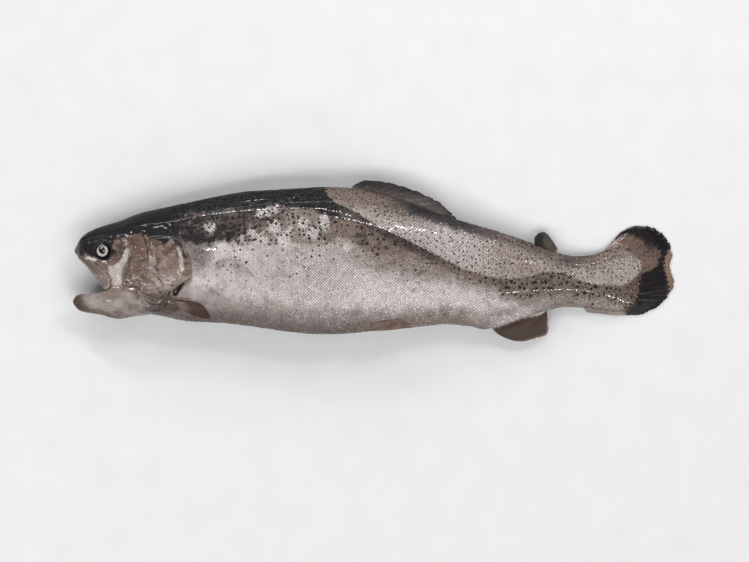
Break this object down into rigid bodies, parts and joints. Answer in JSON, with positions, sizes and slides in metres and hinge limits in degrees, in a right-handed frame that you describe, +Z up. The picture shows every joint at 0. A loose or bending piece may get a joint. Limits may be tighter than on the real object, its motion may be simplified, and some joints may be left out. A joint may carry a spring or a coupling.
{
  "type": "rainbow trout",
  "caption": "Life-size rainbow trout lying flat on its right side, left flank up, mouth open and fins folded, as a caught fish rests on a slab.",
  "frame": {"origin": "middle of the footprint's bounding box, on the floor that the right flank rests on", "axes": "+X from snout to tail, +Y towards the back, +Z up, from the right flank to the left flank"},
  "size_m": [0.3638, 0.097, 0.0418],
  "materials": {
    "skin": "wet, finely scaled, silvery with dark spots",
    "head": "wet, smooth, scaleless",
    "fin": "damp rayed membrane",
    "eye": "wet and glossy",
    "mouth": "wet flesh"
  },
  "bodies": {
    "root": {"eye_left": "eye", "eye_right": "eye", "fin_adipose": "fin", "fin_anal": "fin", "fin_caudal": "fin", "fin_dorsal": "fin", "fin_pectoral_left": "fin", "fin_pectoral_right": "fin", "fin_pelvic_left": "fin", "fin_pelvic_right": "fin", "gill_cover_left": "head", "gill_cover_right": "head", "head": "head", "jaw_lower": "head", "maxilla_left": "head", "maxilla_right": "head", "tail_stock": "skin", "tongue": "mouth", "trunk": "skin"}
  },
  "joints": []
}
